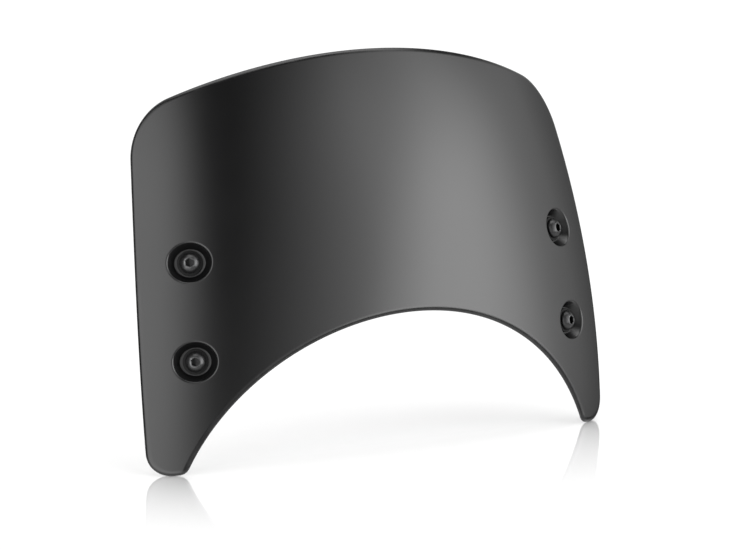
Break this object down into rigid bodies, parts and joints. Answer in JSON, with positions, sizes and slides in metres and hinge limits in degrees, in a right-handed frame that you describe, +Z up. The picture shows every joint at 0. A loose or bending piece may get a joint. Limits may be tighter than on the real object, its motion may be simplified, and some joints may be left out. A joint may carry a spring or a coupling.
{
  "type": "windshield screen",
  "caption": "Small opaque curved fly screen with a headlamp arch between two legs, held by button head screws in dished, rubber-mounted seats.",
  "frame": {"origin": "on the ground plane, under the middle of the part's bounding box, with the screen standing on its leg tips", "axes": "+Z up; the convex front of the screen faces -Y and leans back towards +Y; +X runs across it; left is -X, as seen from the front"},
  "size_m": [0.2732, 0.0722, 0.208],
  "materials": {
    "shell": "satin black, fine moulded surface",
    "screw": "satin black zinc on steel",
    "nylon_washer": "matt black nylon",
    "rubber": "matt black",
    "sleeve": "turned",
    "steel": "zinc plated",
    "nut_nylon": "satin nylon"
  },
  "bodies": {
    "screen": {"screen_shell": "shell", "sleeve_left_upper": "sleeve", "sleeve_left_lower": "sleeve", "sleeve_right_upper": "sleeve", "sleeve_right_lower": "sleeve", "grommet_left_upper": "rubber", "grommet_left_lower": "rubber", "grommet_right_upper": "rubber", "grommet_right_lower": "rubber", "rear_washer_left_upper": "steel", "rear_washer_left_lower": "steel", "rear_washer_right_upper": "steel", "rear_washer_right_lower": "steel", "lock_nut_left_upper": "steel", "lock_nut_left_lower": "steel", "lock_nut_right_upper": "steel", "lock_nut_right_lower": "steel", "nut_insert_left_upper": "nut_nylon", "nut_insert_left_lower": "nut_nylon", "nut_insert_right_upper": "nut_nylon", "nut_insert_right_lower": "nut_nylon"},
    "washer_left_upper": {"head_washer_left_upper": "nylon_washer"},
    "washer_left_lower": {"head_washer_left_lower": "nylon_washer"},
    "washer_right_upper": {"head_washer_right_upper": "nylon_washer"},
    "washer_right_lower": {"head_washer_right_lower": "nylon_washer"},
    "screw_left_upper": {"screw_left_upper": "screw"},
    "screw_left_lower": {"screw_left_lower": "screw"},
    "screw_right_upper": {"screw_right_upper": "screw"},
    "screw_right_lower": {"screw_right_lower": "screw"}
  },
  "joints": [
    {"name": "left_upper_draw", "type": "slide", "parent": "screen", "child": "washer_left_upper", "axis": [-0.4698, -0.8424, 0.2638], "range_m": [0, 0.008]},
    {"name": "left_upper_turn", "type": "hinge", "parent": "washer_left_upper", "child": "screw_left_upper", "pos_m": [-0.1093, -0.00122, 0.10657], "axis": [-0.4698, -0.8424, 0.2638], "range_deg": [0, 2880]},
    {"name": "left_lower_draw", "type": "slide", "parent": "screen", "child": "washer_left_lower", "axis": [-0.457, -0.8746, 0.162], "range_m": [0, 0.008]},
    {"name": "left_lower_turn", "type": "hinge", "parent": "washer_left_lower", "child": "screw_left_lower", "pos_m": [-0.11171, -0.01205, 0.05766], "axis": [-0.457, -0.8746, 0.162], "range_deg": [0, 2880]},
    {"name": "right_upper_draw", "type": "slide", "parent": "screen", "child": "washer_right_upper", "axis": [0.4698, -0.8424, 0.2638], "range_m": [0, 0.008]},
    {"name": "right_upper_turn", "type": "hinge", "parent": "washer_right_upper", "child": "screw_right_upper", "pos_m": [0.1093, -0.00122, 0.10657], "axis": [0.4698, -0.8424, 0.2638], "range_deg": [0, 2880]},
    {"name": "right_lower_draw", "type": "slide", "parent": "screen", "child": "washer_right_lower", "axis": [0.457, -0.8746, 0.162], "range_m": [0, 0.008]},
    {"name": "right_lower_turn", "type": "hinge", "parent": "washer_right_lower", "child": "screw_right_lower", "pos_m": [0.11171, -0.01205, 0.05766], "axis": [0.457, -0.8746, 0.162], "range_deg": [0, 2880]}
  ],
  "couplings": [
    {"joint": "left_upper_turn", "follows": "left_upper_draw", "rad_per_m": 6283.2},
    {"joint": "left_lower_turn", "follows": "left_lower_draw", "rad_per_m": 6283.2},
    {"joint": "right_upper_turn", "follows": "right_upper_draw", "rad_per_m": 6283.2},
    {"joint": "right_lower_turn", "follows": "right_lower_draw", "rad_per_m": 6283.2}
  ]
}
